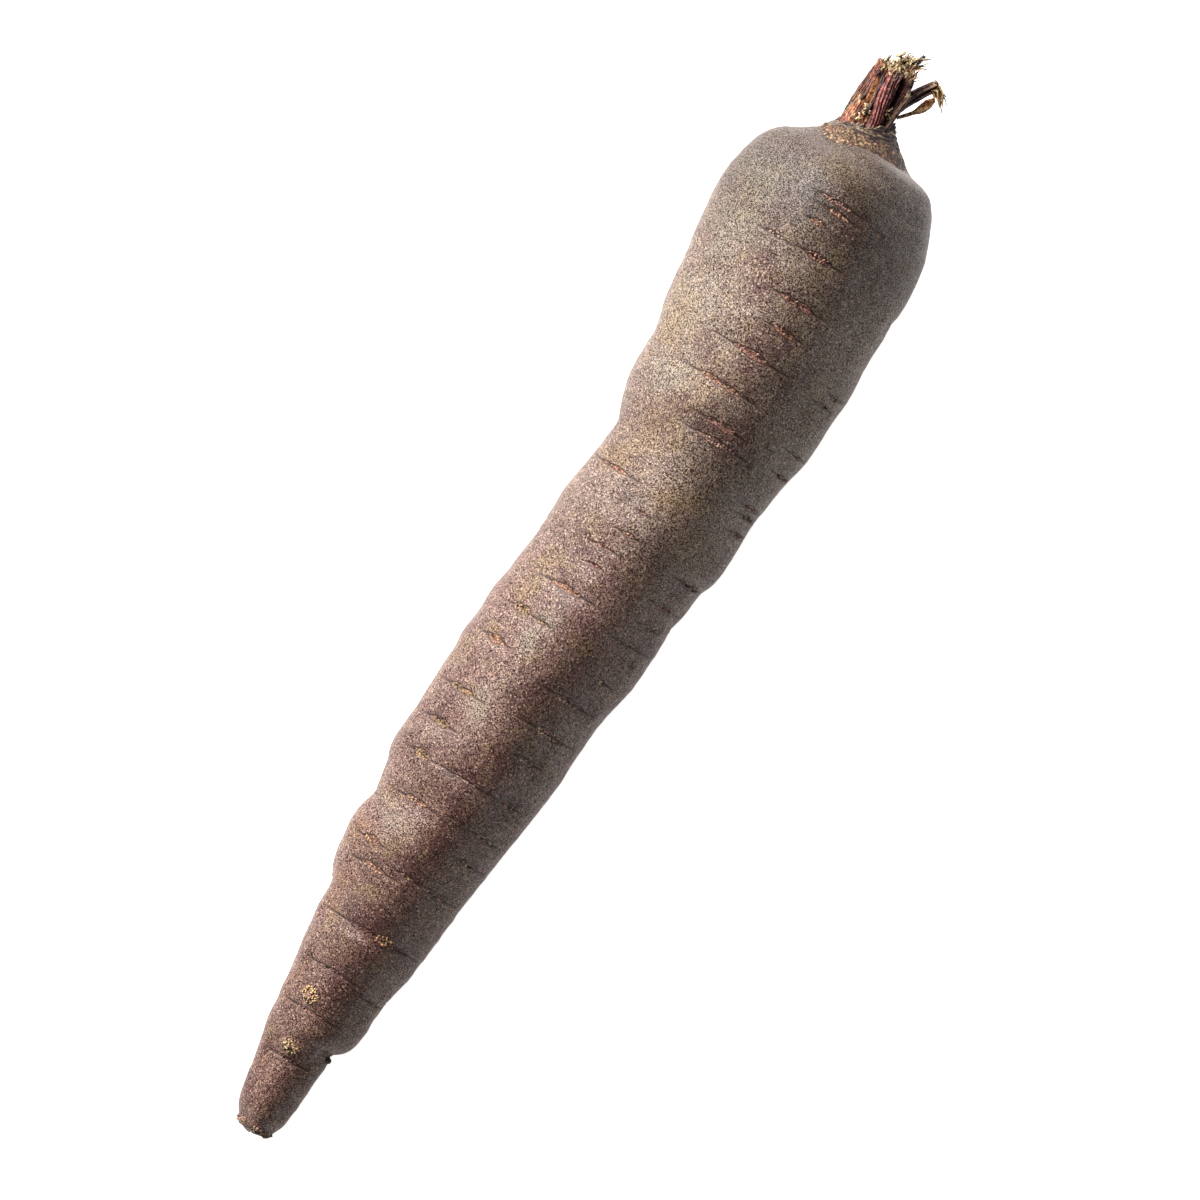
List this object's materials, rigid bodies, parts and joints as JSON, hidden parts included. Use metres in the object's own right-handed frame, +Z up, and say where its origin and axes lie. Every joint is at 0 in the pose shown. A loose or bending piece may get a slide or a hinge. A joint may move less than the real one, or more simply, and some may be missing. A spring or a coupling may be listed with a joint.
{
  "type": "carrot",
  "caption": "Black carrot lying on its side: a dusty purple-grey tapered taproot with creased skin and a blunt tip, a scaly brown crown collar and a short bundle of cut, frayed leaf stalks.",
  "frame": {"origin": "on the surface that the carrot lies on, under the middle of its bounding box", "axes": "+X runs along the root from the tip to the crown, +Z is up, +Y completes the right-handed frame"},
  "size_m": [0.2542, 0.045, 0.0439],
  "materials": {
    "root_skin": "matte",
    "dry_leaf_base": "matte",
    "orange_stalk": "matte",
    "maroon_stalk": "matte",
    "dark_stalk": "matte",
    "straw_fibre": "matte",
    "tan_stalk": "matte"
  },
  "bodies": {
    "root": {"root": "root_skin", "crown_collar": "dry_leaf_base", "stalk_far": "orange_stalk", "stalk_open": "orange_stalk", "stalk_middle": "maroon_stalk", "stalk_near": "dark_stalk", "stalk_under_near": "dark_stalk", "stalk_under_far": "maroon_stalk", "stalk_side": "orange_stalk", "stalk_heart": "straw_fibre", "stalk_bent": "dark_stalk", "stalk_thin": "tan_stalk", "leaf_shred": "orange_stalk"}
  },
  "joints": []
}
